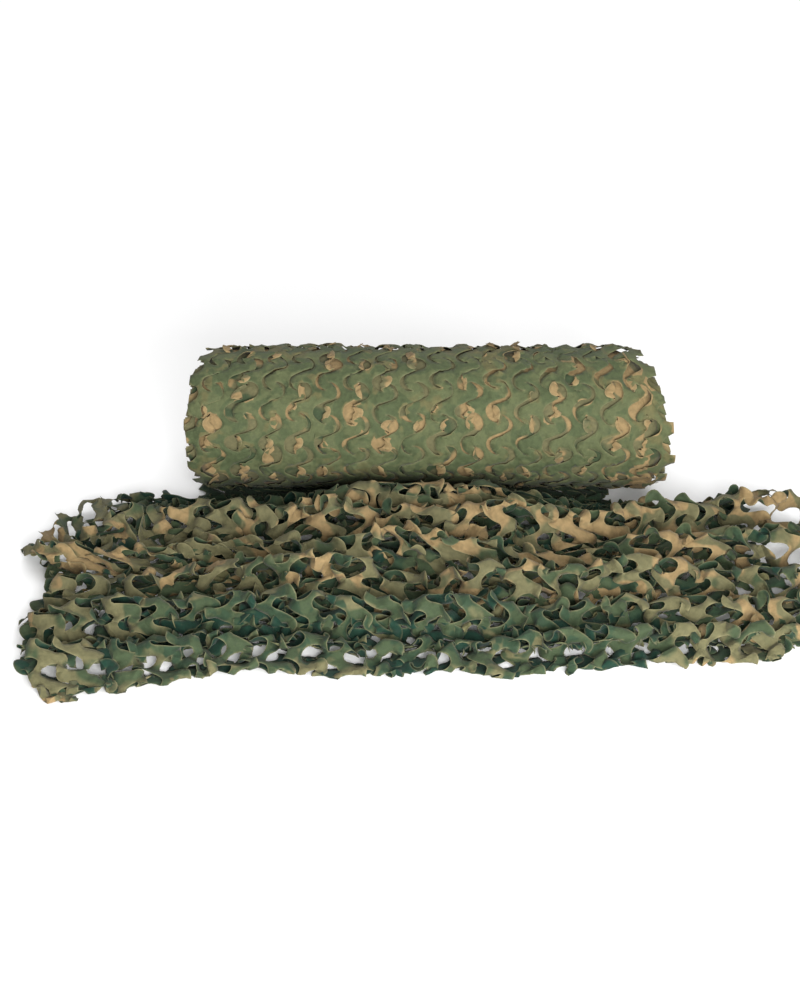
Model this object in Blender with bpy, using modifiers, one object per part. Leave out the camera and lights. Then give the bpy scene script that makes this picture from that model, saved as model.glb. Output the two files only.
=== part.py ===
"""A roll of incised camouflage netting, its free end drawn out from under the roll and heaped in folds.

Frame: +X along the roll, -Y towards the free end, +Z up. The origin is the middle of the small flat
spot on which the roll rests, so the floor is the plane z = 0. All sizes are in metres.
"""

import math
from collections import namedtuple

import bmesh
import bpy
from mathutils import Matrix, Vector, noise

# --- Cloth ----------------------------------------------------------------------------------------
CLOTH = 0.0022  # thickness of the coated cloth with the curl of its cut edges
FLOOR_GAP = 0.0003  # clearance kept between the loose end and the floor

# --- The wound roll -------------------------------------------------------------------------------
ROLL_RADIUS = 0.226
ROLL_SIDES = 44
ROLL_RINGS = 18
FLAT_DEPTH = 0.0015  # how far the roll's own weight flattens it where it rests
END_TURNS = 4  # main turns that show as ridges on each end of the roll
EYE_RADIUS = 0.030  # the dimple where the winding starts
EYE_DEPTH = 0.040
GROOVE_DEPTH = 0.016  # how far a turn's edge stands out of the groove beside it
RIDGE_PLACE = 0.55  # where the ridge lies between two grooves, as a share of a turn's thickness
RIM_SNAP = 0.006  # a spiral line nearer to the rim than this ends in the rim
SHOULDER = 0.014  # how far the rim of an end is drawn in
SHOULDER_START = 0.93  # where that begins, as a share of the way to the end
SWELL = 0.006  # unevenness of the wound surface
RAGGED = 0.014  # unevenness of the turns' edges along the roll

# How far each end reaches from the middle of the roll, and how much farther at its top and front.
End = namedtuple("End", "name side middle top front")
ENDS = [
    End("left", -1, 0.733, 0.000, 0.038),
    End("right", 1, 0.713, -0.020, 0.062),
]

# --- The loose end --------------------------------------------------------------------------------
COLUMNS = 13  # gaps across the net, at under twice the real pitch
ROWS = 22  # gaps along the net, near the real pitch
GAP_WIDE = 0.56  # a gap's share of its cell across the net
GAP_LONG = 0.52  # and along it
GAP_SLANT = 0.10  # how far a gap's ends lean, as a share of the cell
LIP = 0.010  # how far the lips of a gap curl out of the sheet
CREASE = 0.014  # height of the small creases between the main folds
WANDER = 0.040  # how far a fold strays from its line
SIDE_POWER = 2.2  # how sharply the heap's sides part from its middle, 1 being straight
SIDE_STRAY = 0.025  # unevenness of the net's side edges
LEAN = 0.30  # how far a fold's crest leans towards the free end, for each metre of height

# The hump where the net is bunched up against the roll: its place along the roll and the net, how far
# it spreads each way, and its height.
Hump = namedtuple("Hump", "x share spread_x spread_share height")
HUMP = Hump(-0.03, 0.17, 0.36, 0.055, 0.110)

# Lines across the net where it is highest or lowest, from the roll to the free end. share is how far
# along the cloth a line lies. x and y place its two ends and its middle on the floor; z is its height.
Line = namedtuple("Line", "name share x_left x_right y_left y_mid y_right z_left z_mid z_right")
LINES = [
    Line("tuck", 0.00, -0.74, 0.59, -0.056, -0.056, -0.056, 0.0014, 0.0014, 0.0014),
    Line("strip", 0.09, -0.74, 0.59, -0.225, -0.235, -0.225, 0.010, 0.014, 0.012),
    Line("crest_a", 0.17, -0.88, 0.81, -0.250, -0.310, -0.280, 0.025, 0.055, 0.030),
    Line("trough_a", 0.24, -1.03, 1.07, -0.140, -0.405, -0.190, 0.012, 0.060, 0.016),
    Line("crest_b", 0.31, -1.16, 1.19, -0.310, -0.475, -0.270, 0.035, 0.150, 0.060),
    Line("trough_b", 0.38, -1.24, 1.23, -0.530, -0.580, -0.430, 0.014, 0.045, 0.020),
    Line("crest_c", 0.45, -1.22, 1.24, -0.610, -0.640, -0.540, 0.060, 0.145, 0.090),
    Line("trough_c", 0.52, -1.10, 1.23, -0.690, -0.730, -0.660, 0.018, 0.030, 0.022),
    Line("crest_d", 0.59, -1.13, 1.21, -0.780, -0.790, -0.745, 0.070, 0.130, 0.090),
    Line("trough_d", 0.66, -1.16, 1.18, -0.900, -0.885, -0.850, 0.014, 0.020, 0.020),
    Line("crest_e", 0.74, -1.16, 1.15, -1.000, -0.950, -0.930, 0.070, 0.115, 0.080),
    Line("trough_e", 0.81, -1.14, 1.10, -1.110, -1.030, -1.015, 0.012, 0.014, 0.014),
    Line("crest_f", 0.88, -1.12, 1.05, -1.200, -1.080, -1.045, 0.060, 0.070, 0.050),
    Line("toe", 0.95, -1.09, 0.98, -1.300, -1.145, -1.100, 0.012, 0.012, 0.012),
    Line("free_edge", 1.00, -1.04, 0.94, -1.370, -1.190, -1.145, 0.004, 0.004, 0.004),
]


def collection(name):
    made = bpy.data.collections.new(name)
    bpy.context.scene.collection.children.link(made)
    return made


def cloth_material():
    """Matt coated camouflage cloth, in its mean colour."""
    made = bpy.data.materials.new("camouflage_cloth")
    made.use_nodes = True
    shader = made.node_tree.nodes["Principled BSDF"]
    shader.inputs["Base Color"].default_value = (0.118, 0.127, 0.066, 1.0)
    shader.inputs["Roughness"].default_value = 0.8
    return made


def smooth(share):
    """0 to 1 with level ends."""
    share = min(max(share, 0.0), 1.0)
    return share * share * (3.0 - 2.0 * share)


def uneven(x, y, seed):
    """Smooth unevenness between about -1 and 1, always the same for the same place and seed."""
    return noise.noise(Vector((x, y, 7.3 * seed)))


# --- The loose end: where each point of the flat net lies when it is heaped in folds ---------------
def across(left, middle, right, u):
    """A value across the net, from its left edge (u = 0) to its right one (u = 1)."""
    side = left if u < 0.5 else right
    return middle + (side - middle) * abs(2.0 * u - 1.0) ** SIDE_POWER


def on_line(line, u):
    x = line.x_left + (line.x_right - line.x_left) * u
    y = across(line.y_left, line.y_mid, line.y_right, u)
    return Vector((x, y, across(line.z_left, line.z_mid, line.z_right, u)))


def draped(u, v):
    """The middle of the cloth's thickness, u across the net and v along it, both from 0 to 1."""
    after = next(i for i, line in enumerate(LINES) if i and v <= line.share + 1e-6)
    before, after = LINES[after - 1], LINES[after]
    t = (v - before.share) / (after.share - before.share)
    start, end = on_line(before, u), on_line(after, u)
    place = start.lerp(end, t)
    place.z = start.z + (end.z - start.z) * smooth(t)
    off_hump = Vector(((place.x - HUMP.x) / HUMP.spread_x, (v - HUMP.share) / HUMP.spread_share))
    place.z += HUMP.height * math.exp(-off_hump.length_squared)
    free = smooth((v - LINES[1].share) / 0.10)  # the strip beside the roll lies flat
    swell = 0.55 * uneven(2.9 * place.x, 6.0 * v, 3)
    rough = uneven(9.0 * place.x, 14.0 * v, 4)
    stray = uneven(2.3 * place.x, 2.0 * v, 1) + 0.5 * uneven(5.1 * place.x, 5.0 * v, 2)
    place.z += free * (place.z * swell + CREASE * rough)
    place.y += free * (WANDER * stray - LEAN * place.z)
    place.x += free * (2.0 * u - 1.0) * SIDE_STRAY * uneven(3.0 * round(u), 16.0 * v, 6)
    return place


def lip_curl(column, row):
    """How far a gap's corner curls out of the sheet: its far lip up, its near lip a little down."""
    inside = column % 1.0 > 0.001 and 0.001 < row % 1.0 < 0.999
    if not inside:
        return 0.0
    way = 1.0 if row % 1.0 > 0.5 else -0.4
    return LIP * way * (0.7 + 0.6 * uneven(1.7 * column, 1.9 * row, 5))


def net_cell():
    """One cell of the net as a flat mesh in a unit square, with its six-cornered gap."""
    wide, long, slant = GAP_WIDE / 2, GAP_LONG / 2, GAP_SLANT / 2
    rim = [(0, 0), (1, 0), (1, 0.5), (1, 1), (0, 1), (0, 0.5)]
    gap = [
        (0.5 - 0.55 * wide - slant, 0.5 - long),
        (0.5 + 0.75 * wide - slant, 0.5 - 0.8 * long),
        (0.5 + wide + slant, 0.5 + 0.1 * long),
        (0.5 + 0.55 * wide + slant, 0.5 + long),
        (0.5 - 0.75 * wide + slant, 0.5 + 0.8 * long),
        (0.5 - wide - slant, 0.5 - 0.1 * long),
    ]
    mesh = bpy.data.meshes.new("net_cell")
    faces = [(i, (i + 1) % 6, 6 + (i + 1) % 6, 6 + i) for i in range(6)]
    mesh.from_pydata([(x, y, 0.0) for x, y in rim + gap], [], faces)
    return mesh


def flat_net(helpers):
    """The cells repeated across and along the net and joined edge to edge, one unit a cell."""
    cell = bpy.data.objects.new("net_cell", net_cell())
    helpers.objects.link(cell)
    cell.hide_render = True
    cell.display_type = "WIRE"
    for name, count, axis in (("across", COLUMNS, 0), ("along", ROWS, 1)):
        array = cell.modifiers.new(name, "ARRAY")
        array.count = count
        array.use_relative_offset = False
        array.use_constant_offset = True
        array.constant_offset_displace = [float(k == axis) for k in range(3)]
        array.use_merge_vertices = True
        array.merge_threshold = 0.0001
    bpy.context.view_layer.update()
    graph = bpy.context.evaluated_depsgraph_get()
    return bpy.data.meshes.new_from_object(cell.evaluated_get(graph))


def loose_end(parts, helpers, cloth):
    """The perforated sheet, laid in its folds and given its thickness."""
    mesh = flat_net(helpers)
    mesh.name = "net_loose"
    for vertex in mesh.vertices:
        column, row = vertex.co.x, vertex.co.y
        place = draped(column / COLUMNS, row / ROWS)
        place.z += smooth(row / ROWS / 0.2) * lip_curl(column, row)
        place.z = max(place.z, CLOTH / 2 + FLOOR_GAP)
        vertex.co = place
    mesh.materials.append(cloth)
    net = bpy.data.objects.new("net_loose", mesh)
    parts.objects.link(net)
    net.modifiers.new("triangles", "TRIANGULATE").quad_method = "SHORTEST_DIAGONAL"
    thicken = net.modifiers.new("cloth", "SOLIDIFY")
    thicken.thickness = CLOTH
    thicken.offset = 0.0
    return net


# --- The roll: a plain drum with a spiral on each end, then wound unevenly -------------------------
def drum_wall():
    """The open wall of the drum, round the X axis from x = -1 to 1 and cut into rings."""
    wall = bmesh.new()
    half_side = math.pi / ROLL_SIDES
    bmesh.ops.create_cone(
        wall,
        cap_ends=False,
        segments=ROLL_SIDES,
        radius1=ROLL_RADIUS,
        radius2=ROLL_RADIUS,
        depth=2.0,
        matrix=Matrix.Rotation(half_side, 4, "X") @ Matrix.Rotation(math.pi / 2, 4, "Y"),
    )
    for ring in range(1, ROLL_RINGS):
        share = 2.0 * ring / ROLL_RINGS - 1.0
        geometry = wall.verts[:] + wall.edges[:] + wall.faces[:]
        bmesh.ops.bisect_plane(wall, geom=geometry, plane_co=(share, 0, 0), plane_no=(1, 0, 0))
    return wall


def turned(point):
    """How far round the roll a point is, from its underside by the front and the top to the back."""
    return math.atan2(-point.y, -point.z) % (2 * math.pi)


def spiral_end(wall, end):
    """Closes one end of the drum with the grooves and ridges of its main turns."""
    rim = [v for v in wall.verts if abs(v.co.x - end.side) < 1e-5]
    rim.sort(key=lambda v: turned(v.co))
    first = turned(rim[0].co)
    turn_thick = (ROLL_RADIUS - EYE_RADIUS) / END_TURNS
    half_length = end.middle
    made = {}

    def corner(line, i):
        """A vertex of a spiral line: even lines are grooves, odd ones ridges, two to each turn."""
        line, i = line + 2 * (i // ROLL_SIDES), i % ROLL_SIDES
        ridge = line % 2
        turns = line // 2 + ridge * RIDGE_PLACE + i / ROLL_SIDES
        radius = EYE_RADIUS + turn_thick * turns
        if radius > ROLL_RADIUS - RIM_SNAP:
            return rim[i]
        if (line, i) not in made:
            angle = first + 2 * math.pi * i / ROLL_SIDES
            depth = 0.0 if ridge else GROOVE_DEPTH
            x = end.side * (1.0 - depth / half_length)
            place = (x, -radius * math.sin(angle), -radius * math.cos(angle))
            made[line, i] = wall.verts.new(place)
        return made[line, i]

    loops = []
    for line in range(2 * END_TURNS):
        for i in range(ROLL_SIDES):
            loops.append([corner(line, i), corner(line, i + 1), corner(line + 1, i + 1), corner(line + 1, i)])
    eye = wall.verts.new((end.side * (1.0 - EYE_DEPTH / half_length), 0, 0))
    inner = [corner(0, i) for i in range(ROLL_SIDES + 1)] + [corner(1, 0), corner(0, 0)]
    for here, there in zip(inner, inner[1:]):
        loops.append([eye, there, here])
    for loop in loops:
        distinct = list(dict.fromkeys(loop))
        if len(distinct) > 2:
            wall.faces.new(distinct)


def wound(point):
    """Where a point of the plain drum lies once the cloth is wound unevenly and rests on the floor."""
    end = ENDS[0] if point.x < 0 else ENDS[1]
    reach = end.middle + (end.top * point.z - end.front * point.y) / ROLL_RADIUS
    out = math.hypot(point.y, point.z) / ROLL_RADIUS
    near_end = smooth((abs(point.x) - SHOULDER_START) / (1.0 - SHOULDER_START))
    round_about = Vector((1.3 * point.y, 1.3 * point.z)) / ROLL_RADIUS
    ragged = RAGGED * near_end * noise.noise(Vector((5.0 * end.side, *(2.2 * round_about))))
    swell = noise.noise(Vector((4.0 * point.x, *round_about)))
    off_floor = smooth(0.5 + 0.5 * point.z / ROLL_RADIUS)
    scale = 1.0 + out * (SWELL * swell * off_floor - SHOULDER * near_end) / ROLL_RADIUS
    axis_height = ROLL_RADIUS * math.cos(math.pi / ROLL_SIDES) - FLAT_DEPTH
    height = axis_height + point.z * scale
    return Vector((point.x * reach + end.side * ragged, point.y * scale, max(height, 0.0)))


def wound_roll(parts, cloth):
    """The roll as one solid of its wound form."""
    wall = drum_wall()
    for end in ENDS:
        spiral_end(wall, end)
    bmesh.ops.recalc_face_normals(wall, faces=wall.faces[:])
    for vertex in wall.verts:
        vertex.co = wound(vertex.co)
    mesh = bpy.data.meshes.new("net_roll")
    wall.to_mesh(mesh)
    wall.free()
    mesh.materials.append(cloth)
    roll = bpy.data.objects.new("net_roll", mesh)
    parts.objects.link(roll)
    return roll


def main():
    for obj in list(bpy.data.objects):
        bpy.data.objects.remove(obj)
    parts = collection("camouflage_net_roll")
    helpers = collection("camouflage_net_helpers")
    cloth = cloth_material()
    wound_roll(parts, cloth)
    loose_end(parts, helpers, cloth)


main()
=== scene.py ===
"""Looks of a camouflage net roll: slit cloth wound on the roll, its layered ends, and the loose end in folds.

The cloth has two coordinates, in metres before it is opened: across its width, and along its length from
where it leaves the roll, positive towards the free end. Every slit, fold and colour is placed in them.
"""

import math
from collections import namedtuple

import bmesh
import bpy
import numpy as np
from bpy.props import FloatProperty, FloatVectorProperty, IntProperty, PointerProperty
from mathutils import Matrix, Vector, noise
from mathutils.geometry import delaunay_2d_cdt


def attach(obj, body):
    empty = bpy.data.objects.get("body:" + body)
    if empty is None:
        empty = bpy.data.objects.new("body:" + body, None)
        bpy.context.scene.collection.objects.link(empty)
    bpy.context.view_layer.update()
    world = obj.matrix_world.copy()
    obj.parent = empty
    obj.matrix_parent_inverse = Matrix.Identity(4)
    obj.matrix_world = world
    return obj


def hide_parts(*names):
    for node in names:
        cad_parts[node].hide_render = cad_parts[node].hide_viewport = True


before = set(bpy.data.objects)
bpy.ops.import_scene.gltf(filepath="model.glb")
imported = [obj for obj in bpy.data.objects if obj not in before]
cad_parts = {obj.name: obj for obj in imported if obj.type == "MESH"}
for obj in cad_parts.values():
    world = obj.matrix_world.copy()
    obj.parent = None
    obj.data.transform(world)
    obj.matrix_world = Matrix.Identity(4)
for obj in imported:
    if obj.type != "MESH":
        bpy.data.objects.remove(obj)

bl_info = {
    "name": "Camouflage net roll",
    "version": (1, 0, 0),
    "blender": (4, 5, 0),
    "location": "View3D > Sidebar > Net roll",
    "description": "Builds slit camouflage netting, wound and loose, on the part's frame",
    "category": "Object",
}

TURN = 2.0 * math.pi

# How far each end of the roll reaches from its middle, and how much farther at its top and front.
End = namedtuple("End", "name side middle top front")
ENDS = [
    End("left", -1, 0.733, 0.000, 0.038),
    End("right", 1, 0.713, -0.020, 0.062),
]

# Lines across the loose net where it is highest or lowest, from the roll to the free end. share is how
# far along a line lies. x and y place its two ends and its middle on the floor; z is its height.
Line = namedtuple("Line", "name share x_left x_right y_left y_mid y_right z_left z_mid z_right")
LINES = [
    Line("tuck", 0.00, -0.74, 0.59, -0.056, -0.056, -0.056, 0.0014, 0.0014, 0.0014),
    Line("strip", 0.09, -0.74, 0.59, -0.225, -0.235, -0.225, 0.010, 0.014, 0.012),
    Line("crest_a", 0.17, -0.88, 0.81, -0.250, -0.310, -0.280, 0.025, 0.055, 0.030),
    Line("trough_a", 0.24, -1.03, 1.07, -0.140, -0.405, -0.190, 0.012, 0.060, 0.016),
    Line("crest_b", 0.31, -1.16, 1.19, -0.310, -0.475, -0.270, 0.035, 0.150, 0.060),
    Line("trough_b", 0.38, -1.24, 1.23, -0.530, -0.580, -0.430, 0.014, 0.045, 0.020),
    Line("crest_c", 0.45, -1.22, 1.24, -0.610, -0.640, -0.540, 0.060, 0.145, 0.090),
    Line("trough_c", 0.52, -1.10, 1.23, -0.690, -0.730, -0.660, 0.018, 0.030, 0.022),
    Line("crest_d", 0.59, -1.13, 1.21, -0.780, -0.790, -0.745, 0.070, 0.130, 0.090),
    Line("trough_d", 0.66, -1.16, 1.18, -0.900, -0.885, -0.850, 0.014, 0.020, 0.020),
    Line("crest_e", 0.74, -1.16, 1.15, -1.000, -0.950, -0.930, 0.070, 0.115, 0.080),
    Line("trough_e", 0.81, -1.14, 1.10, -1.110, -1.030, -1.015, 0.012, 0.014, 0.014),
    Line("crest_f", 0.88, -1.12, 1.05, -1.200, -1.080, -1.045, 0.085, 0.070, 0.060),
    Line("toe", 0.93, -1.09, 0.98, -1.300, -1.145, -1.100, 0.045, 0.020, 0.025),
    Line("front_edge", 0.965, -1.06, 0.95, -1.365, -1.185, -1.140, 0.012, 0.012, 0.012),
    Line("turned_under", 1.00, -1.04, 0.94, -1.290, -1.110, -1.065, 0.003, 0.003, 0.003),
]

# The hump where the net is bunched up against the roll.
Hump = namedtuple("Hump", "x share spread_x spread_share height")
HUMP = Hump(-0.03, 0.17, 0.36, 0.055, 0.110)

# The share of the width at each side that is turned under, along the front half of the loose end.
HEM = 0.045
HEM_START = 0.34

FLOOR_GAP = 0.0025  # least height of a fold's line over the floor
GRID_ACROSS = 61  # places worked out across the folds, and along them
GRID_ALONG = 420

# Cloth is ruffled before it settles, by bumps of a height, about pitch apart, which a seed places.
Ruffle = namedtuple("Ruffle", "pitch height seed")
UPPER_RUFFLES = (Ruffle(0.130, 0.024, 1), Ruffle(0.060, 0.007, 2))
UNDER_RUFFLES = (Ruffle(0.130, 0.018, 5), Ruffle(0.060, 0.006, 6))

# The roll. Depths are inwards from the outer turn's surface.
SPIRAL = 0.004  # how much nearer to the axis the cloth comes in a turn
DRUM_DEPTH = 0.0065
RIM_DEPTH = 0.006
DRUM_SIDES = 120
DRUM_RINGS = 48
TIP_SEED = 11
RIM_COLUMNS = 2  # columns of tongues at the right rim, whose tips turn back more often

Colour = namedtuple("Colour", "red green blue")


# --- Settings -------------------------------------------------------------------------------------
class NetSettings(bpy.types.PropertyGroup):
    """The cloth and its slits, and how the loose end lies."""

    cell_wide: FloatProperty(
        name="Slit pitch across", description="From slit to slit across the net", default=0.080, unit="LENGTH"
    )
    cell_long: FloatProperty(
        name="Slit pitch along", description="From slit to slit along the net", default=0.103, unit="LENGTH"
    )
    head_radius: FloatProperty(
        name="Slit's ends", description="Radius of the arc that ends a slit", default=0.037, unit="LENGTH"
    )
    turn_radius: FloatProperty(
        name="Slit's bends", description="Radius of the bend beside an arc", default=0.019, unit="LENGTH"
    )
    bulge: FloatProperty(
        name="Arc's place", description="From a slit's middle to an arc's", default=0.029, unit="LENGTH"
    )
    grain: FloatProperty(
        name="Mesh edge", description="Length of an edge of the mesh", default=0.0135, unit="LENGTH"
    )
    thickness: FloatProperty(
        name="Cloth thickness", description="From one face to the other", default=0.0008, unit="LENGTH"
    )
    loose_columns: IntProperty(
        name="Upper fold's columns", description="Slits across the loose end's upper fold", default=23
    )
    loose_rows: IntProperty(
        name="Upper fold's rows", description="Slits along the loose end's upper fold", default=23
    )
    under_columns: IntProperty(
        name="Lower fold's columns", description="Slits across the fold beneath", default=22
    )
    under_rows: IntProperty(
        name="Lower fold's rows", description="Slits along the fold beneath", default=17
    )
    lean: FloatProperty(
        name="Lean", description="How far forward a crest leans, for its height", default=0.30
    )
    crease: FloatProperty(
        name="Small creases", description="Height of the small creases", default=0.016, unit="LENGTH"
    )
    wander: FloatProperty(
        name="Stray", description="How far a fold strays from its line", default=0.050, unit="LENGTH"
    )
    steps: IntProperty(
        name="Settling steps", description="Steps in which the cloth settles", default=240
    )


class RollSettings(bpy.types.PropertyGroup):
    """The roll's size and the way it is wound."""

    radius: FloatProperty(
        name="Radius", description="From the axis to the outer turn", default=0.226, unit="LENGTH"
    )
    axis_height: FloatProperty(
        name="Axis", description="Height of the axis", default=0.2239, unit="LENGTH"
    )
    columns: IntProperty(
        name="Columns", description="Slits along the roll", default=17
    )
    rows: IntProperty(
        name="Rows", description="Slits round the outer turn", default=15
    )
    tuck: FloatProperty(
        name="Tuck", description="Where the cloth leaves, in front of the axis", default=0.056, unit="LENGTH"
    )
    turn_pitch: FloatProperty(
        name="Turn pitch", description="From turn to turn at the ends", default=0.0075, unit="LENGTH"
    )
    end_rows: IntProperty(
        name="End rows", description="Slits along the turns at an end", default=190
    )
    shoulder: FloatProperty(
        name="Shoulder", description="How far an end's rim is drawn in", default=0.014, unit="LENGTH"
    )
    shoulder_start: FloatProperty(
        name="Shoulder's start", description="Share of the half length where that begins", default=0.93
    )
    swell: FloatProperty(
        name="Swell", description="Unevenness of the surface", default=0.006, unit="LENGTH"
    )
    ragged: FloatProperty(
        name="Ragged ends", description="Unevenness of the ends", default=0.014, unit="LENGTH"
    )
    main_turns: IntProperty(
        name="Main turns", description="Turns that show as ridges on each end", default=4
    )
    eye_radius: FloatProperty(
        name="Eye", description="Radius of the dimple in each end", default=0.030, unit="LENGTH"
    )
    groove: FloatProperty(
        name="Groove", description="Depth between an end's main turns", default=0.016, unit="LENGTH"
    )
    lip: FloatProperty(
        name="Lip", description="Lift of a slit's loose lips", default=0.009, unit="LENGTH"
    )
    ridge: FloatProperty(
        name="Ridge", description="Height of the ridges round the roll", default=0.0055, unit="LENGTH"
    )
    flap_share: FloatProperty(
        name="Turned tips", description="Share of the tongues whose tips are turned back", default=0.42
    )
    rim_flaps: FloatProperty(
        name="Rim tips", description="Added to that share at the right rim", default=0.35
    )
    recess: FloatProperty(
        name="Recess", description="From the turns' edges to the drum's ends", default=0.042, unit="LENGTH"
    )


def colour_property(name, use, value):
    """A colour that the user can change."""
    return FloatVectorProperty(name=name, description=use, default=value, min=0, max=1, subtype="COLOR")


class ColourSettings(bpy.types.PropertyGroup):
    """The colours printed on the cloth. Moss and deep green also paint shade: under the roll, behind the heap
    and between the loose end's layers.
    """

    tan: colour_property("Tan", "Light patches", (0.190, 0.131, 0.061))
    khaki: colour_property("Khaki", "Ground of the tan face", (0.092, 0.085, 0.041))
    olive: colour_property("Olive", "Ground of the olive face", (0.087, 0.082, 0.035))
    sage: colour_property("Sage", "Patches of the olive face", (0.068, 0.079, 0.035))
    fern: colour_property("Fern", "Dark patches of the olive face", (0.050, 0.064, 0.028))
    green: colour_property("Green", "Patches of the tan face", (0.031, 0.046, 0.021))
    # Moss: the print's dark green, also used as painted shade on the loose end and as the reverse's ground.
    moss_and_shade: colour_property("Moss", "Dark patches, and ground of the reverse", (0.018, 0.036, 0.018))
    # Deep green: the reverse's own dark green, darkened into painted shade for the gaps between the layers.
    deep_green_and_shade: colour_property("Deep green", "Patches of the reverse", (0.004, 0.022, 0.013))
    cut: colour_property("Cut edge", "The coating where it is cut or rubbed", (0.240, 0.210, 0.110))


class StageSettings(bpy.types.PropertyGroup):
    """Camera, lights and floor."""

    elevation: FloatProperty(
        name="Elevation", description="Camera's angle", default=math.radians(27.0), unit="ROTATION"
    )
    distance: FloatProperty(
        name="Distance", description="From the camera to its aim", default=5.5, unit="LENGTH"
    )
    aim: FloatVectorProperty(
        name="Aim", description="What the camera looks at", default=(-0.088, -0.45, 0.149), subtype="XYZ"
    )
    lens: FloatProperty(name="Lens", description="Focal length in millimetres", default=64.8)
    top_power: FloatProperty(name="Overhead light", description="Its power in watts", default=1080.0)
    key_power: FloatProperty(name="Front light", description="Its power in watts", default=445.0)
    fill_power: FloatProperty(name="Side light", description="Its power in watts", default=150.0)
    sky: FloatProperty(name="Sky", description="Strength of the light from all round", default=0.50)


# --- Small helpers --------------------------------------------------------------------------------
def smooth(share):
    """0 to 1 with level ends, for a number or an array."""
    share = np.clip(share, 0.0, 1.0)
    return share * share * (3.0 - 2.0 * share)


def uneven(x, y, seed):
    """Smooth unevenness between about -1 and 1 at one place."""
    return noise.noise(Vector((x, y, 7.3 * seed)))


def uneven_at(points, pitch, seed):
    """The same for an array of points, with bumps about pitch apart."""
    shift = Vector((3.1 * seed, 1.7 * seed, 7.3 * seed))
    return np.array([noise.noise(Vector(p) / pitch + shift) for p in points])


def groups(count, pairs):
    """The lowest member of each item's group, where pairs of items are joined."""
    label = np.arange(count)
    while True:
        low = np.minimum(label[pairs[:, 0]], label[pairs[:, 1]])
        lower = label.copy()
        np.minimum.at(lower, pairs[:, 0], low)
        np.minimum.at(lower, pairs[:, 1], low)
        lower = lower[lower]
        if (lower == label).all():
            return label
        label = lower


# --- The cloth's flat mesh and its slits ----------------------------------------------------------
def head_half(net):
    """Half of a slit, from the start of its round head to its middle at (0, 0)."""
    round_head = [
        (net.head_radius * math.sin(a), net.bulge + net.head_radius * math.cos(a))
        for a in np.radians(np.arange(0, 90, 15))
    ]
    middle = net.head_radius - net.turn_radius
    bend = [
        (middle + net.turn_radius * math.cos(a), net.bulge - net.turn_radius * math.sin(a))
        for a in np.radians((0, 30, 60))
    ]
    slash = [tuple(np.array(bend[-1]) * share) for share in (0.67, 0.33, 0.0)]
    return round_head + bend + slash


def wrapped(points, height):
    """A line split where it leaves the cell at its bottom or top, its pieces moved into the cell."""
    pieces, piece = [], [points[0]]
    for (x0, y0), (x1, y1) in zip(points, points[1:]):
        for level in (0.0, height):
            if (y0 - level) * (y1 - level) < 0:
                x = x0 + (x1 - x0) * (level - y0) / (y1 - y0)
                piece.append((x, level))
                pieces.append(piece)
                piece = [(x, level)]
        piece.append((x1, y1))
    pieces.append(piece)
    moved = []
    for piece in pieces:
        middle = sum(y for x, y in piece) / len(piece)
        shift = -height * math.floor(middle / height)
        moved.append([(x, y + shift) for x, y in piece])
    return moved


def divided(stops, grain):
    """Places from the first stop to the last, through every stop and about grain apart."""
    places = [stops[0]]
    for start, end in zip(stops, stops[1:]):
        count = max(1, round((end - start) / grain))
        places += [start + (end - start) * i / count for i in range(1, count + 1)]
    return places


def cell_mesh(net):
    """One cell of the slit pattern: points, triangles and slit edges. A slit's middle is on its side."""
    wide, long = net.cell_wide, net.cell_long
    half = head_half(net)
    head = [(x, long / 2 + y) for x, y in half]
    tail = [(wide - x, long / 2 - y) for x, y in half]
    slits = wrapped(head, long) + wrapped(tail, long)
    crossings = sorted({round(x, 6) for line in slits for x, y in line if y in (0.0, long)})
    reach = net.bulge + net.head_radius
    side_stops = sorted({0.0, long, long / 2, (long / 2 + reach) % long, (long / 2 - reach) % long})
    xs = divided([0.0] + crossings + [wide], net.grain)
    ys = divided(side_stops, net.grain)
    rim = [[(x, y) for x in xs] for y in (0.0, long)] + [[(x, y) for y in ys] for x in (0.0, wide)]

    points, index = [], {}

    def place(x, y):
        key = (round(x * 1e6), round(y * 1e6))
        if key not in index:
            index[key] = len(points)
            points.append((x, y))
        return index[key]

    def chain(line):
        ids = [place(x, y) for x, y in line]
        return [(a, b) for a, b in zip(ids, ids[1:]) if a != b]

    rim_edges = [edge for line in rim for edge in chain(line)]
    slit_edges = [edge for line in slits for edge in chain(line)]
    drawn = np.array(points)
    ends = np.array(rim_edges + slit_edges)
    start, along = drawn[ends[:, 0]], drawn[ends[:, 1]] - drawn[ends[:, 0]]
    rows, columns = round(long / (0.87 * net.grain)), round(wide / net.grain)
    for row in range(1, rows):
        for column in range(columns):
            spot = np.array((wide * (column + 0.5 * (row % 2) + 0.25) / columns, long * row / rows))
            share = ((spot - start) * along).sum(1) / (along * along).sum(1)
            nearest = start + along * share.clip(0, 1)[:, None]
            if np.hypot(*(nearest - spot).T).min() > 0.55 * net.grain:
                place(*spot)
    made = delaunay_2d_cdt([Vector(p) for p in points], rim_edges + slit_edges, [], 0, 1e-7)
    made_as = {origin: i for i, origins in enumerate(made[3]) for origin in origins}
    slit_edges = [(made_as[a], made_as[b]) for a, b in slit_edges]
    return np.array([tuple(p) for p in made[0]]), np.array(made[2]), np.array(slit_edges)


def edge_keys(pairs, count):
    """One number for each pair of points, whichever way round it is."""
    return pairs.min(1).astype(np.int64) * count + pairs.max(1)


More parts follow.
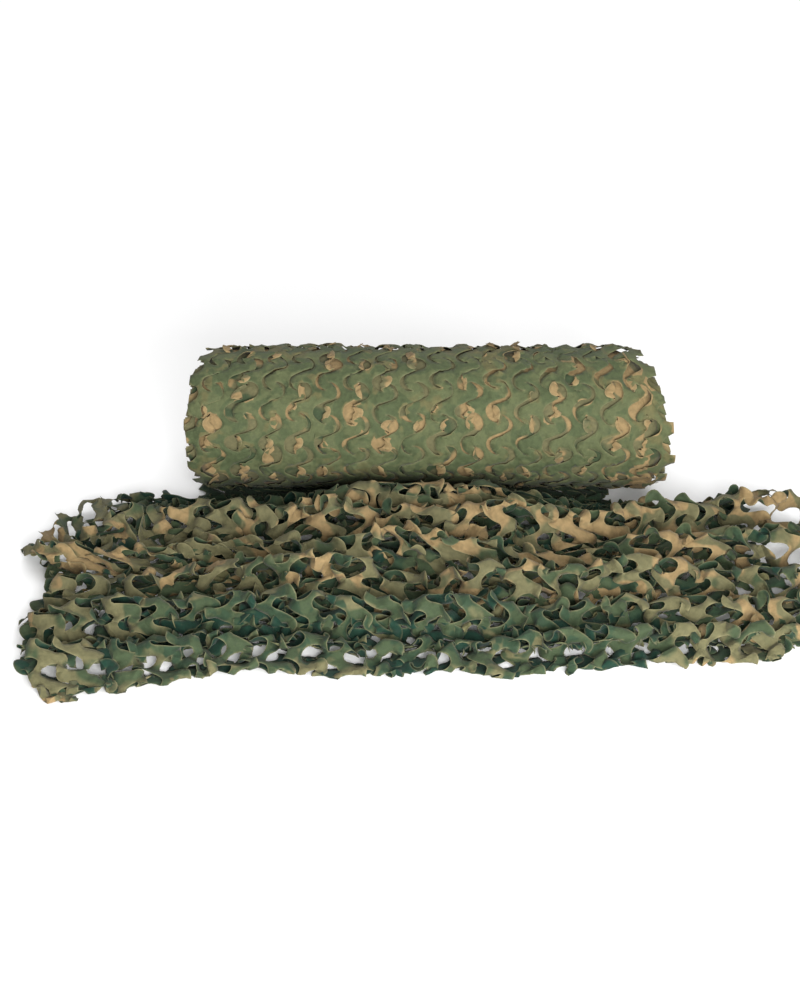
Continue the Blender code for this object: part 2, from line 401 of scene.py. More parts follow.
def shared_edges(faces, count):
    """Each edge of a triangle mesh once, and for the edges of two triangles the corners that meet there."""
    sides = np.concatenate([faces[:, [0, 1]], faces[:, [1, 2]], faces[:, [2, 0]]])
    corner = np.arange(faces.size).reshape(-1, 3)
    corners = np.concatenate([corner[:, [0, 1]], corner[:, [1, 2]], corner[:, [2, 0]]])
    opposite = np.concatenate([faces[:, 2], faces[:, 0], faces[:, 1]])
    keys = edge_keys(sides, count)
    order = np.argsort(keys, kind="stable")
    unique, first, many = np.unique(keys[order], return_index=True, return_counts=True)
    one, two = order[first], order[np.minimum(first + 1, len(order) - 1)]
    inner = many == 2
    return sides[one], unique, inner, corners[one], corners[two], opposite[one], opposite[two]


Cloth = namedtuple("Cloth", "flat faces edges bends rim")


def slit_cloth(net, columns, rows, first_row=0):
    """The net's flat mesh: its cells tiled, its slits opened, and the scraps that they free taken away."""
    points, faces, slits = cell_mesh(net)
    places, all_faces, all_slits = [], [], []
    for tile in range(rows * columns):
        row, column = divmod(tile, columns)
        shift = len(points) * tile
        places.append(points + (column * net.cell_wide, (first_row + row) * net.cell_long))
        all_faces.append(faces + shift)
        all_slits.append(slits + shift)
    places = np.concatenate(places)
    rounded = np.round(places * 1e5).astype(np.int64)
    keys = rounded[:, 0] * 10**8 + rounded[:, 1]
    _, first, merged = np.unique(keys, return_index=True, return_inverse=True)
    flat, faces, slits = places[first], merged[np.concatenate(all_faces)], merged[np.concatenate(all_slits)]

    sides, keys, inner, corners_a, corners_b, _, _ = shared_edges(faces, len(flat))
    whole = inner & ~np.isin(keys, edge_keys(slits, len(flat)))
    point_of = faces.ravel()
    a, b = corners_a[whole], corners_b[whole]
    same_way = point_of[a[:, 0]] == point_of[b[:, 0]]
    b = np.where(same_way[:, None], b, b[:, ::-1])
    corner_group = groups(faces.size, np.concatenate([np.stack([a[:, k], b[:, k]], 1) for k in (0, 1)]))
    kept, corner_point = np.unique(corner_group, return_inverse=True)
    flat, faces = flat[point_of[kept]], corner_point.reshape(-1, 3)

    part = groups(len(flat), shared_edges(faces, len(flat))[0])
    largest = np.bincount(part).argmax()
    faces = faces[(part[faces] == largest).all(1)]
    used, faces = np.unique(faces, return_inverse=True)
    flat, faces = flat[used], faces.reshape(-1, 3)
    edges, _, inner, _, _, across_a, across_b = shared_edges(faces, len(flat))
    rim = np.zeros(len(flat))
    rim[edges[~inner].ravel()] = 1.0
    return Cloth(flat, faces, edges, np.stack([across_a[inner], across_b[inner]], 1), rim)


# --- Settling: the cloth keeps its lengths while it is opened and folded --------------------------
def batches(pairs, count):
    """The pairs in batches, no point twice in one batch, so that each batch can move at once."""
    taken, batch = [0] * count, []
    for a, b in pairs.tolist():
        busy = taken[a] | taken[b]
        free = (~busy & (busy + 1)).bit_length() - 1
        batch.append(free)
        taken[a] |= 1 << free
        taken[b] |= 1 << free
    batch = np.array(batch)
    return [np.nonzero(batch == k)[0] for k in range(batch.max() + 1)]


def holds(pairs, flat, count):
    """Pairs of points with the distance that each keeps, batch by batch."""
    length = np.linalg.norm(flat[pairs[:, 0]] - flat[pairs[:, 1]], axis=1)
    return [(pairs[k, 0], pairs[k, 1], length[k]) for k in batches(pairs, count)]


def pull(places, held, strength):
    for a, b, length in held:
        gap = places[a] - places[b]
        far = np.maximum(np.sqrt((gap * gap).sum(1)), 1e-9)
        move = (0.5 * strength * (far - length) / far)[:, None] * gap
        places[a] -= move
        places[b] += move


def settle(net, cloth, places, rest_on, stiffness, anchor, droop):
    """Moves places until the cloth has its own lengths again, each cell's middle staying near its place."""
    count = len(places)
    edges = holds(cloth.edges, cloth.flat, count)
    bends = holds(cloth.bends, cloth.flat, count)
    cell = np.floor(cloth.flat / (net.cell_wide, net.cell_long)).astype(int)
    cell -= cell.min(0)
    cell = cell[:, 0] + (cell[:, 0].max() + 1) * cell[:, 1]
    members = np.maximum(np.bincount(cell), 1)

    def middles():
        return np.stack([np.bincount(cell, places[:, k]) for k in range(3)], 1) / members[:, None]

    home = middles()
    speed = np.zeros_like(places)
    for step in range(net.steps):
        before = places.copy()
        places += 0.9 * speed
        places[:, 2] -= droop
        pull(places, edges, 1.0)
        pull(places, bends, stiffness)
        places += anchor * (home - middles())[cell]
        rest_on(places)
        speed = (places - before) * (1.0 if step < 0.7 * net.steps else 0.5)
    return places


# --- The loose end's folds ------------------------------------------------------------------------
def across(left, middle, right, u):
    """A value across the net, from its left edge (u = 0) to its right one (u = 1)."""
    side = left if u < 0.5 else right
    return middle + (side - middle) * abs(2.0 * u - 1.0) ** 2.2


def on_line(line, u):
    """A place on a line, whose ends are turned under in the front half of the loose end."""
    hem = HEM * smooth((line.share - HEM_START) / 0.10)
    inner = (u - hem) / (1.0 - 2.0 * hem)
    turned = max(-inner, inner - 1.0, 0.0)
    inner = min(max(inner, 0.0), 1.0) + math.copysign(turned, 0.5 - u)
    x = line.x_left + (line.x_right - line.x_left) * inner
    y = across(line.y_left, line.y_mid, line.y_right, inner)
    z = across(line.z_left, line.z_mid, line.z_right, inner)
    return Vector((x, y, z * (1.0 - 0.85 * smooth(turned / 0.03))))


def draped(net, u, v):
    """Where the net lies, u across it and v along it, both from 0 to 1."""
    after = next(i for i, line in enumerate(LINES) if i and v <= line.share + 1e-6)
    before, after = LINES[after - 1], LINES[after]
    t = (v - before.share) / (after.share - before.share)
    start, end = on_line(before, u), on_line(after, u)
    place = start.lerp(end, t)
    place.z = start.z + (end.z - start.z) * smooth(t)
    off_hump = Vector(((place.x - HUMP.x) / HUMP.spread_x, (v - HUMP.share) / HUMP.spread_share))
    place.z += HUMP.height * math.exp(-off_hump.length_squared)
    free = smooth((v - LINES[1].share) / 0.10)
    swell = 0.55 * uneven(3.4 * place.x, 6.0 * v, 3)
    rough = uneven(9.0 * place.x, 14.0 * v, 4)
    stray = uneven(2.3 * place.x, 2.0 * v, 1) + 0.5 * uneven(5.1 * place.x, 5.0 * v, 2)
    place.z += free * (place.z * swell + net.crease * rough)
    place.y += free * (net.wander * stray - net.lean * place.z)
    place.x += free * (2.0 * u - 1.0) * 0.025 * uneven(3.0 * round(u), 16.0 * v, 6)
    place.z = max(place.z, FLOOR_GAP)
    return place


def drape_grid(net):
    """Places on the folds, evenly spaced along the cloth in each of its columns."""
    shares = np.linspace(0, 1, GRID_ALONG)
    grid = []
    for u in np.linspace(0, 1, GRID_ACROSS):
        path = np.array([draped(net, u, v) for v in shares])
        run = np.concatenate([[0.0], np.cumsum(np.linalg.norm(np.diff(path, axis=0), axis=1))])
        even = np.linspace(0, run[-1], GRID_ALONG)
        grid.append(np.stack([np.interp(even, run, path[:, k]) for k in range(3)], 1))
    return np.array(grid)


def from_grid(grid, u, v):
    """Places between the grid's own."""
    at_u = u.clip(0, 1) * (grid.shape[0] - 1)
    at_v = v.clip(0, 1) * (grid.shape[1] - 1)
    i = np.minimum(at_u.astype(int), grid.shape[0] - 2)
    j = np.minimum(at_v.astype(int), grid.shape[1] - 2)
    s, t = (at_u - i)[:, None], (at_v - j)[:, None]
    near = grid[i, j] * (1 - s) + grid[i + 1, j] * s
    far = grid[i, j + 1] * (1 - s) + grid[i + 1, j + 1] * s
    return near * (1 - t) + far * t


def flat_points(cloth):
    """The cloth's flat places as points in space."""
    return np.c_[cloth.flat, np.zeros(len(cloth.flat))]


def floor_under(cloth, least, bumps, seed):
    """Keeps the cloth above a floor of its own, whose small bumps keep the cloth's layers apart."""
    height = least + bumps * (0.5 + 0.5 * uneven_at(flat_points(cloth), 0.035, seed))

    def on_floor(places):
        np.maximum(places[:, 2], height, out=places[:, 2])

    return on_floor


def ruffle(places, cloth, share, ruffles):
    """Moves the cloth's points all ways by a share of the ruffles, before it settles."""
    flat = flat_points(cloth)
    for pitch, height, seed in ruffles:
        places[:, 2] += share * height * uneven_at(flat, pitch, seed)
        places[:, 1] += share * height * uneven_at(flat, pitch, seed + 10)
        places[:, 0] += share * height * uneven_at(flat, pitch, seed + 20)


def upper_fold(net, grid):
    """The loose end's upper fold: opened, laid along the folds and settled on the floor."""
    cloth = slit_cloth(net, net.loose_columns, net.loose_rows)
    u = cloth.flat[:, 0] / (net.loose_columns * net.cell_wide)
    v = cloth.flat[:, 1] / (net.loose_rows * net.cell_long)
    places = from_grid(grid, u, v)
    ruffle(places, cloth, smooth((v - 0.07) / 0.08), UPPER_RUFFLES)
    on_floor = floor_under(cloth, least=0.0040, bumps=0.0050, seed=7)
    settle(net, cloth, places, on_floor, stiffness=0.45, anchor=0.35, droop=0.0002)
    return cloth, places


def under_fold(net, grid):
    """The end of the net, folded back from the front edge and lying lower in the same heap."""
    cloth = slit_cloth(net, net.under_columns, net.under_rows, net.loose_rows)
    u = cloth.flat[:, 0] / (net.under_columns * net.cell_wide)
    v = cloth.flat[:, 1] / net.cell_long - net.loose_rows
    share = 0.90 - 0.78 * v / net.under_rows
    drawn_in = 0.04 + 0.11 * np.exp(-(((share - 0.52) / 0.09) ** 2))
    places = from_grid(grid, drawn_in + (1.0 - 2.0 * drawn_in) * u, share)
    places[:, 2] = 0.006 + 0.45 * places[:, 2]
    ruffle(places, cloth, 1.0, UNDER_RUFFLES)
    on_floor = floor_under(cloth, least=0.0012, bumps=0.0030, seed=8)
    settle(net, cloth, places, on_floor, stiffness=0.45, anchor=0.35, droop=0.0004)
    return cloth, places


# --- The roll -------------------------------------------------------------------------------------
def wound(roll, share, angle, out):
    """A place on the roll: share along it from -1 to 1, angle from its underside by the back, out of 1."""
    y, z = roll.radius * out * math.sin(angle), -roll.radius * out * math.cos(angle)
    end = ENDS[0] if share < 0 else ENDS[1]
    reach = end.middle + (end.top * z - end.front * y) / roll.radius
    near_end = smooth((abs(share) - roll.shoulder_start) / (1.0 - roll.shoulder_start))
    about = (1.3 * y / roll.radius, 1.3 * z / roll.radius)
    ragged = roll.ragged * near_end * noise.noise(Vector((5.0 * end.side, 2.2 * about[0], 2.2 * about[1])))
    swell = noise.noise(Vector((4.0 * share, *about)))
    off_floor = smooth(0.5 + 0.5 * z / roll.radius)
    scale = 1.0 + out * (roll.swell * swell * off_floor - roll.shoulder * near_end) / roll.radius
    return share * reach + end.side * ragged, y * scale, max(roll.axis_height + z * scale, 0.0015)


def outer_turn(net, roll):
    """The roll's outer turn, from where the loose end leaves it, round by the back and over the top.

    It comes with a number for each point: how much tan shows there.
    """
    cloth = slit_cloth(net, roll.columns, roll.rows, -roll.rows)
    flat = flat_points(cloth)
    share = 2.0 * cloth.flat[:, 0] / (roll.columns * net.cell_wide) - 1.0
    angle = -math.asin(roll.tuck / roll.radius) - cloth.flat[:, 1] / roll.radius
    ridge = roll.ridge * np.abs(np.cos(math.pi * cloth.flat[:, 0] / net.cell_wide))
    out = 1.0 + (ridge - SPIRAL * angle / TURN) / roll.radius
    home = np.array([wound(roll, *spot) for spot in zip(share, angle, out)])
    outward = np.c_[np.zeros(len(angle)), np.sin(angle), -np.cos(angle)]
    under = smooth((roll.axis_height - home[:, 2]) / roll.radius - 0.80)
    # Some lips of the slits stand off the roll, but none where it rests on the floor.
    lifted = cloth.rim * smooth((uneven_at(flat, 0.050, 21) - 0.14) / 0.30)
    least = roll.lip * lifted * (1.0 - under)
    most = (0.004 + roll.lip * lifted) * (1.0 - under)
    rough = 0.004 * np.abs(uneven_at(flat, 0.060, 23)) + 0.003 * uneven_at(flat, 0.024, 22)
    places = home + outward * np.clip(rough, least, most)[:, None]
    along = np.c_[np.zeros(len(angle)), outward[:, 2], -outward[:, 1]]
    places[:, 0] += 0.014 * uneven_at(flat, 0.110, 24)
    places += (0.012 * (1.0 - under) * uneven_at(flat, 0.130, 25))[:, None] * along

    def on_turns(places):
        out = ((places - home) * outward).sum(1)
        places += outward * (np.clip(out, least, most) - out)[:, None]
        np.maximum(places[:, 2], 0.0012, out=places[:, 2])

    settle(net, cloth, places, on_turns, stiffness=0.10, anchor=0.5, droop=0.0)
    turned = fold_tips(net, roll, cloth, places, outward, along, under < 0.01)
    return cloth, places, 1.7 * lifted + 2.0 * turned


def fold_tips(net, roll, cloth, places, outward, along, clear):
    """Turns the tips of some tongues back over their roots, where clear. Gives 1 for each point turned."""
    # A tongue is the cloth inside the arc at an end of a slit. Each has its own three random numbers:
    # whether its tip is turned back, which way, and how much of it.
    chance = np.random.default_rng(TIP_SEED).random((roll.columns + 1, roll.rows + 2, 2, 3))
    chance[-RIM_COLUMNS:, :, :, 0] -= roll.rim_flaps
    middles = cloth.flat[cloth.faces].mean(1)
    turned = np.zeros(len(places))
    for way in (1, -1):
        arc = net.cell_long / 2 + way * net.bulge

        def from_arc(spots):
            column = np.round(spots[:, 0] / net.cell_wide)
            row = np.round((spots[:, 1] - arc) / net.cell_long)
            off = way * (spots - np.c_[column * net.cell_wide, row * net.cell_long + arc])
            return off, chance[column.astype(int), row.astype(int) + roll.rows, (way + 1) // 2]

        def beyond(spots):
            off, luck = from_arc(spots)
            tilt = 1.5 * (luck[:, 1] - 0.5)
            way_out = np.c_[np.cos(tilt), np.sin(tilt)]
            fold = net.head_radius * (0.20 + 0.45 * luck[:, 2])
            return off, luck, way_out, (off * way_out).sum(1) - fold

        off, luck, _, past = beyond(middles)
        bend = np.hypot(off[:, 0] - net.head_radius + net.turn_radius, off[:, 1]) < net.turn_radius
        inside = np.where(off[:, 1] > 0, np.hypot(*off.T) < net.head_radius, bend)
        tip = inside & (past > 0) & (luck[:, 0] < roll.flap_share) & clear[cloth.faces].all(1)
        moved = np.ones(len(places), dtype=bool)
        moved[cloth.faces[~tip].ravel()] = False
        _, _, way_out, past = beyond(cloth.flat)
        back = (-2.0 * way * past * moved)[:, None] * way_out
        places[:, 0] += back[:, 0]
        places += back[:, 1:] * along
        places += (moved * (0.003 + 0.20 * past.clip(0, 0.03)))[:, None] * outward
        turned[cloth.faces[tip].ravel()] = 1.0
    return turned


def end_turns(net, roll, end):
    """The edges of the turns on one end: a strip of the net's side edge, wound in a spiral."""
    cloth = slit_cloth(net, 1, roll.end_rows)
    along = cloth.flat[:, 1]
    rim = roll.radius - RIM_DEPTH
    radius = np.sqrt(rim * rim - along * roll.turn_pitch / math.pi)
    angle = 0.4 * end.side + (rim - radius) * TURN / roll.turn_pitch
    depth = cloth.flat[:, 0]
    edge = 1.0 - smooth(depth / 0.05)
    flat = np.c_[along, depth, np.zeros(len(along))]
    stray = uneven_at(flat, 0.30, 31 + end.side)
    curl = uneven_at(flat, 0.06, 33 + end.side)
    turn_thick = (roll.radius - roll.eye_radius) / roll.main_turns
    turn = ((radius - roll.eye_radius) / turn_thick - angle / TURN) % 1.0
    groove = roll.groove * np.abs(turn - 0.5) * 2.0
    # The edge curls and strays both across the turns and into the roll.
    radius = radius + 0.0035 * edge * curl + 0.002 * stray
    places = []
    for i, place in enumerate(zip(np.full(len(along), float(end.side)), angle, radius / roll.radius)):
        x, y, z = wound(roll, *place)
        inward = groove[i] + 0.75 * depth[i] - 0.004 + 0.010 * stray[i] - 0.006 * edge[i] * curl[i]
        places.append((x - end.side * inward, y, max(z, 0.002)))
    return cloth, np.array(places)


def inner_turns(roll):
    """The turns under the outer one, as one closed drum whose ends lie behind the edges of the turns."""
    drum = bmesh.new()
    turn_x = Matrix.Rotation(math.pi / 2, 4, "Y")
    bmesh.ops.create_cone(
        drum,
        cap_ends=True,
        cap_tris=True,
        segments=DRUM_SIDES,
        radius1=1.0,
        radius2=1.0,
        depth=2.0,
        matrix=turn_x,
    )
    for ring in range(1, DRUM_RINGS):
        geometry = drum.verts[:] + drum.edges[:] + drum.faces[:]
        cut_at = (2 * ring / DRUM_RINGS - 1, 0, 0)
        bmesh.ops.bisect_plane(drum, geom=geometry, plane_co=cut_at, plane_no=(1, 0, 0))
    layer = drum.loops.layers.uv.new("cloth")
    bmesh.ops.recalc_face_normals(drum, faces=drum.faces[:])
    for face in drum.faces:
        angles = [math.atan2(loop.vert.co.y, -loop.vert.co.z) for loop in face.loops]
        for loop, angle in zip(face.loops, angles):
            wrap = TURN if max(angles) - min(angles) > math.pi and angle < 0 else 0.0
            loop[layer].uv = (0.75 * loop.vert.co.x + 5.0, (angle + wrap) * roll.radius)
    out = 1.0 - DRUM_DEPTH / roll.radius
    for vertex in drum.verts:
        x, y, z = vertex.co
        place = wound(roll, x, math.atan2(y, -z), out * math.hypot(y, z))
        inset = roll.recess * smooth((abs(x) - 0.85) / 0.15)
        vertex.co = (place[0] - math.copysign(inset, x), place[1], place[2])
    return drum


# --- Meshes ---------------------------------------------------------------------------------------
def linked(name, mesh):
    """An object of a mesh, in the scene."""
    piece = bpy.data.objects.new(name, mesh)
    bpy.context.scene.collection.objects.link(piece)
    return piece


def mark(mesh, name, values):
    """Keeps a number for each point, which the materials read."""
    mesh.attributes.new(name, "FLOAT", "POINT").data.foreach_set("value", values.astype(np.float32))


def cloth_piece(name, net, cloth, places, warmth, faces):
    """A cloth piece with its thickness, its two faces' materials, its cloth coordinates and its marks."""
    mesh = bpy.data.meshes.new(name)
    mesh.from_pydata(places.tolist(), [], cloth.faces.tolist())
    corners = np.empty(len(mesh.loops), dtype=np.int32)
    mesh.loops.foreach_get("vertex_index", corners)
    layer = mesh.uv_layers.new(name="cloth")
    layer.uv.foreach_set("vector", cloth.flat[corners].astype(np.float32).ravel())
    mark(mesh, "cut_edge", cloth.rim)
    mark(mesh, "warmth", warmth)
    mesh.shade_smooth()
    mesh.set_sharp_from_angle(angle=math.radians(32.0))
    for face in faces:
        mesh.materials.append(face)
    piece = linked(name, mesh)
    thick = piece.modifiers.new("thickness", "SOLIDIFY")
    thick.thickness = net.thickness
    thick.offset = 0.0
    thick.material_offset = 1
    return piece


def loose_tan_and_shade(places):
    """How much tan shows: most in the heap's middle and at its sides, less in front; least behind and on the
    strip under the roll, where the low values are painted shade.
    """
    x, y = places[:, 0], places[:, 1]
    # Painted shade: low values next to the roll, on each side of the hump.
    back = smooth((y + 0.45) / 0.13) * (1.0 - np.exp(-(((x - HUMP.x) / 0.28) ** 2)))
    front = smooth((-0.86 - 0.06 * x - y) / 0.16)
    # Painted shade: lowest values on the strip of net that lies in the roll's shadow.
    strip = smooth((y + 0.26) / 0.08)
    sides = smooth((np.maximum(x - 0.50, -x - 0.75)) / 0.30)
    middle = 1.0 - np.maximum(back, front)
    at_sides = sides * np.where(x > 0, 0.9, 0.5)
    at_middle = -back - 0.5 * front - 1.3 * strip
    return middle + (1.0 - middle) * (at_sides + (1.0 - sides) * at_middle)


# --- Materials ------------------------------------------------------------------------------------
def add(tree, kind, inputs=(), **settings):
    """A node with its settings, and its inputs either linked or set."""
    node = tree.nodes.new("ShaderNode" + kind)
    for key, value in settings.items():
        setattr(node, key, value)
    for socket, value in dict(inputs).items():
        if isinstance(value, bpy.types.NodeSocket):
            tree.links.new(value, node.inputs[socket])
        else:
            node.inputs[socket].default_value = value
    return node


def patches(tree, place, pitch, low, high, seed, bias=None, gain=0.0):
    """A mask of soft-edged patches, pitch apart. A bias with a gain above 0 makes more of them."""
    inputs = {"Vector": place, "W": float(seed), "Scale": 1.0 / pitch, "Detail": 2.0, "Distortion": 0.5}
    field = add(tree, "TexNoise", inputs, noise_dimensions="4D").outputs["Fac"]
    if bias is not None:
        field = add(tree, "Math", {0: bias, 1: gain, 2: field}, operation="MULTIPLY_ADD").outputs[0]
    inputs = {"Value": field, "From Min": low, "From Max": high}
    return add(tree, "MapRange", inputs, interpolation_type="SMOOTHSTEP").outputs["Result"]


def mixed(tree, mask, first, second, blend="MIX"):
    """Two colours mixed by a mask."""
    node = add(tree, "Mix", data_type="RGBA", blend_type=blend)
    colours = [socket for socket in node.inputs if socket.type == "RGBA"]
    for socket, value in zip([node.inputs[0], *colours], (mask, first, second)):
        if isinstance(value, bpy.types.NodeSocket):
            tree.links.new(value, socket)
        else:
            socket.default_value = (*value, 1.0) if isinstance(value, Colour) else value
    return next(socket for socket in node.outputs if socket.type == "RGBA")


Face = namedtuple("Face", "name base patch dark light edge")
FACES = [
    Face("net_olive_face", "olive", "sage", "fern", "tan", 0.24),
    Face("net_tan_face", "khaki", "green", "moss_and_shade", "tan", 0.45),
    # The reverse face: its own dark green, darkened into painted shade for the gaps between the layers.
    Face("net_reverse_face", "moss_and_shade", "deep_green_and_shade", "deep_green_and_shade", "green", 0.28),
]


def cloth_material(face, colours):
    """Coated cloth in soft patches of a few colours, woven fine, creased, and paler where it is cut."""
    base, patch, deepest, lightest = (Colour(*getattr(colours, name)) for name in face[1:5])
    material = bpy.data.materials.new(face.name)
    material.use_nodes = True
    tree = material.node_tree
    shader = tree.nodes["Principled BSDF"]
    place = add(tree, "UVMap", uv_map="cloth").outputs["UV"]
    warmth = add(tree, "Attribute", attribute_name="warmth").outputs["Fac"]
    cut = add(tree, "Attribute", attribute_name="cut_edge").outputs["Fac"]

    # The print, with painted shade: large patches, then a fine mottle, then the pale coating where it is cut
    # or rubbed. Low warmth grows the green and dark patches, which paints shade on the loose end near the
    # roll.
    green = patches(tree, place, 0.12, 0.43, 0.51, 1, warmth, -0.12)
    dark = patches(tree, place, 0.07, 0.61, 0.67, 2, warmth, -0.22)
    light = patches(tree, place, 0.15, 0.65, 0.69, 3, warmth, 0.16)
    colour = mixed(tree, green, base, patch)
    colour = mixed(tree, dark, colour, deepest)
    colour = mixed(tree, light, colour, lightest)
    mottle = patches(tree, place, 0.016, 0.30, 0.75, 4)
    colour = mixed(tree, mottle, colour, Colour(0.72, 0.74, 0.70), "MULTIPLY")
    rubbed = patches(tree, place, 0.009, 0.62, 0.80, 5)
    worn = add(tree, "Math", {0: cut, 1: 6.0}, operation="POWER").outputs[0]
    pale = add(tree, "Math", {0: rubbed, 1: 0.06}, operation="MULTIPLY").outputs[0]
    pale = add(tree, "Math", {0: worn, 1: face.edge, 2: pale}, operation="MULTIPLY_ADD").outputs[0]
    colour = mixed(tree, pale, colour, Colour(*colours.cut))
    tree.links.new(colour, shader.inputs["Base Color"])

    # The surface: how matt it is, its weave and its small creases.
    inputs = {"Value": mottle, "To Min": 0.86, "To Max": 0.68}
    tree.links.new(add(tree, "MapRange", inputs).outputs["Result"], shader.inputs["Roughness"])
    threads = []
    for direction in ("X", "Y"):
        inputs = {"Vector": place, "Scale": 260.0, "Distortion": 1.2, "Detail": 1.0, "Detail Scale": 3.0}
        threads.append(add(tree, "TexWave", inputs, bands_direction=direction).outputs["Fac"])
    weave = add(tree, "Math", {0: threads[0], 1: threads[1]}, operation="MULTIPLY").outputs[0]
    inputs = {"Vector": place, "Scale": 42.0, "Detail": 3.0, "Roughness": 0.6}
    creases = add(tree, "TexNoise", inputs).outputs["Fac"]
    crumple = add(tree, "Bump", {"Height": creases, "Strength": 0.7, "Distance": 0.006}).outputs["Normal"]
    inputs = {"Height": weave, "Strength": 0.35, "Distance": 0.0004, "Normal": crumple}
    tree.links.new(add(tree, "Bump", inputs).outputs["Normal"], shader.inputs["Normal"])
    shader.inputs["Sheen Weight"].default_value = 0.04
    shader.inputs["Sheen Roughness"].default_value = 0.5
    shader.inputs["Specular IOR Level"].default_value = 0.18
    return material


def cloth_materials():
    """The net's materials in the order of FACES, made once."""
    for face in FACES:
        if face.name not in bpy.data.materials:
            cloth_material(face, bpy.context.scene.net_colours)
    return [bpy.data.materials[face.name] for face in FACES]


def floor_material():
    """A pale matt studio floor with a very faint unevenness."""
    material = bpy.data.materials.new("studio_floor")
    material.use_nodes = True
    tree = material.node_tree
    place = add(tree, "TexCoord").outputs["Object"]
    cloud = add(tree, "TexNoise", {"Vector": place, "Scale": 0.6, "Detail": 1.0}).outputs["Fac"]
    colour = mixed(tree, cloud, Colour(0.90, 0.90, 0.90), Colour(0.93, 0.93, 0.93))
    tree.links.new(colour, tree.nodes["Principled BSDF"].inputs["Base Color"])
    tree.nodes["Principled BSDF"].inputs["Roughness"].default_value = 0.9
    return material


# --- Operators ------------------------------------------------------------------------------------
def finish_piece(piece, node):
    """Ties a piece to the frame, in place of a solid."""
    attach(piece, "root")
    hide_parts(node)


class NET_OT_loose_end(bpy.types.Operator):
    """Makes the loose end: its upper fold in a heap, and the net's end folded back lower in the heap"""

    bl_idname = "net.loose_end"
    bl_label = "Loose end"

    def execute(self, context):
        net = context.scene.net
        olive, tan, reverse = cloth_materials()
        grid = drape_grid(net)
        # Each fold's reverse face is darkened into painted shade, and its tan values paint shade near the
        # roll.
        for name, fold, columns, rows, faces in (
            ("net_loose_under", under_fold, net.under_columns, net.under_rows, (reverse, olive)),
            ("net_loose_upper", upper_fold, net.loose_columns, net.loose_rows, (reverse, tan)),
        ):
            cloth, places = fold(net, grid)
            piece = cloth_piece(name, net, cloth, places, loose_tan_and_shade(places), faces)
            finish_piece(piece, "net_loose")
        return {"FINISHED"}


class NET_OT_outer_turn(bpy.types.Operator):
    """Makes the roll's outer turn, its slits a little open"""

    bl_idname = "net.outer_turn"
    bl_label = "Outer turn"

    def execute(self, context):
        net, roll = context.scene.net, context.scene.net_roll
        olive, tan, _ = cloth_materials()
        cloth, places, warmth = outer_turn(net, roll)
        warmth = warmth + 0.6 * smooth((places[:, 0] - 0.60) / 0.10) - 0.6
        piece = cloth_piece("net_outer_turn", net, cloth, places, warmth, (olive, tan))
        finish_piece(piece, "net_roll")
        return {"FINISHED"}


class NET_OT_inner_turns(bpy.types.Operator):
    """Makes the turns under the outer one and their edges on both ends"""

    bl_idname = "net.inner_turns"
    bl_label = "Inner turns"

    def execute(self, context):
        net, roll = context.scene.net, context.scene.net_roll
        olive, tan, _ = cloth_materials()
        mesh = bpy.data.meshes.new("net_inner_turns")
        drum = inner_turns(roll)
        drum.to_mesh(mesh)
        drum.free()
        mark(mesh, "warmth", np.full(len(mesh.vertices), 0.95))
        mesh.shade_smooth()
        mesh.materials.append(tan)
        finish_piece(linked("net_inner_turns", mesh), "net_roll")
        for end in ENDS:
            cloth, places = end_turns(net, roll, end)
            warmth = np.full(len(places), 0.6)
            piece = cloth_piece("net_turns_" + end.name, net, cloth, places, warmth, (olive, tan))
            finish_piece(piece, "net_roll")
        return {"FINISHED"}


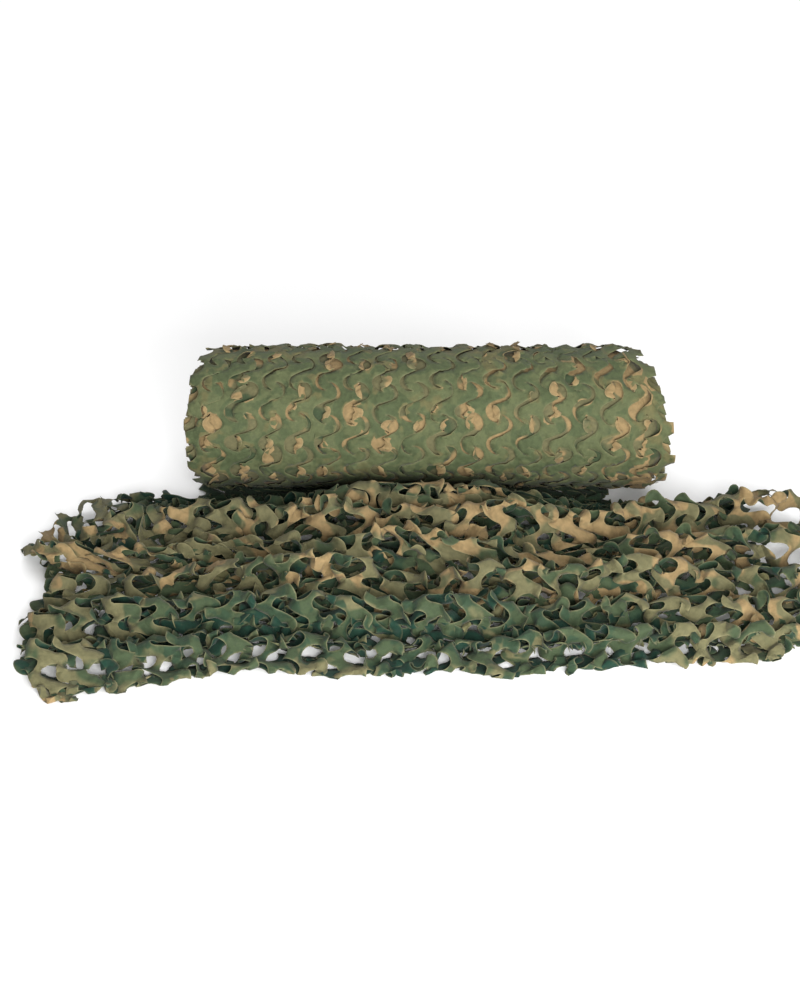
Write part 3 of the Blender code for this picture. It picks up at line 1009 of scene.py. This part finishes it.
class NET_OT_stage(bpy.types.Operator):
    """Makes the camera, the soft studio light and the pale floor"""

    bl_idname = "net.stage"
    bl_label = "Camera, light and floor"

    def execute(self, context):
        scene, stage = context.scene, context.scene.net_stage
        aim = Vector(stage.aim)
        camera = bpy.data.objects.new("camera", bpy.data.cameras.new("camera"))
        back = Vector((0.0, -math.cos(stage.elevation), math.sin(stage.elevation)))
        camera.location = aim + stage.distance * back
        camera.rotation_euler = (math.pi / 2 - stage.elevation, 0.0, 0.0)
        camera.data.lens = stage.lens
        camera.data.sensor_width = 36.0
        scene.collection.objects.link(camera)
        scene.camera = camera

        for name, place, size, power in (
            ("top", (0.0, 5.0, 7.5), 20.0, stage.top_power),
            ("key", (0.35, -5.1, 1.45), 1.8, stage.key_power),
            ("fill", (2.6, -4.4, 1.4), 1.6, stage.fill_power),
        ):
            light = bpy.data.lights.new(name, "AREA")
            light.size = size
            light.energy = power
            lamp = bpy.data.objects.new(name, light)
            lamp.location = place
            lamp.rotation_euler = (aim - Vector(place)).to_track_quat("-Z", "Y").to_euler()
            scene.collection.objects.link(lamp)

        world = bpy.data.worlds.new("studio")
        world.use_nodes = True
        world.node_tree.nodes["Background"].inputs["Color"].default_value = (1.0, 1.0, 1.0, 1.0)
        world.node_tree.nodes["Background"].inputs["Strength"].default_value = stage.sky
        scene.world = world
        scene.view_settings.view_transform = "Standard"

        ground = bmesh.new()
        bmesh.ops.create_grid(ground, x_segments=1, y_segments=1, size=60.0)
        mesh = bpy.data.meshes.new("studio_floor")
        ground.to_mesh(mesh)
        ground.free()
        mesh.materials.append(floor_material())
        linked("studio_floor", mesh)
        return {"FINISHED"}


class NET_PT_roll(bpy.types.Panel):
    """The net's settings and its operators"""

    bl_idname = "NET_PT_roll"
    bl_label = "Net roll"
    bl_space_type = "VIEW_3D"
    bl_region_type = "UI"
    bl_category = "Net roll"

    def draw(self, context):
        for group, operators in (
            (context.scene.net, ("net.loose_end",)),
            (context.scene.net_roll, ("net.inner_turns", "net.outer_turn")),
            (context.scene.net_colours, ()),
            (context.scene.net_stage, ("net.stage",)),
        ):
            box = self.layout.box()
            for name in group.bl_rna.properties.keys():
                if name not in ("rna_type", "name"):
                    box.prop(group, name)
            for operator in operators:
                box.operator(operator)


CLASSES = (
    NetSettings,
    RollSettings,
    ColourSettings,
    StageSettings,
    NET_OT_loose_end,
    NET_OT_outer_turn,
    NET_OT_inner_turns,
    NET_OT_stage,
    NET_PT_roll,
)


def register():
    for item in CLASSES:
        bpy.utils.register_class(item)
    bpy.types.Scene.net = PointerProperty(type=NetSettings)
    bpy.types.Scene.net_roll = PointerProperty(type=RollSettings)
    bpy.types.Scene.net_colours = PointerProperty(type=ColourSettings)
    bpy.types.Scene.net_stage = PointerProperty(type=StageSettings)


def unregister():
    del bpy.types.Scene.net_stage
    del bpy.types.Scene.net_colours
    del bpy.types.Scene.net_roll
    del bpy.types.Scene.net
    for item in reversed(CLASSES):
        bpy.utils.unregister_class(item)


def main():
    register()
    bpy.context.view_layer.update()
    bpy.ops.net.inner_turns()
    bpy.ops.net.outer_turn()
    bpy.ops.net.loose_end()
    bpy.ops.net.stage()


if __name__ == "__main__":
    main()
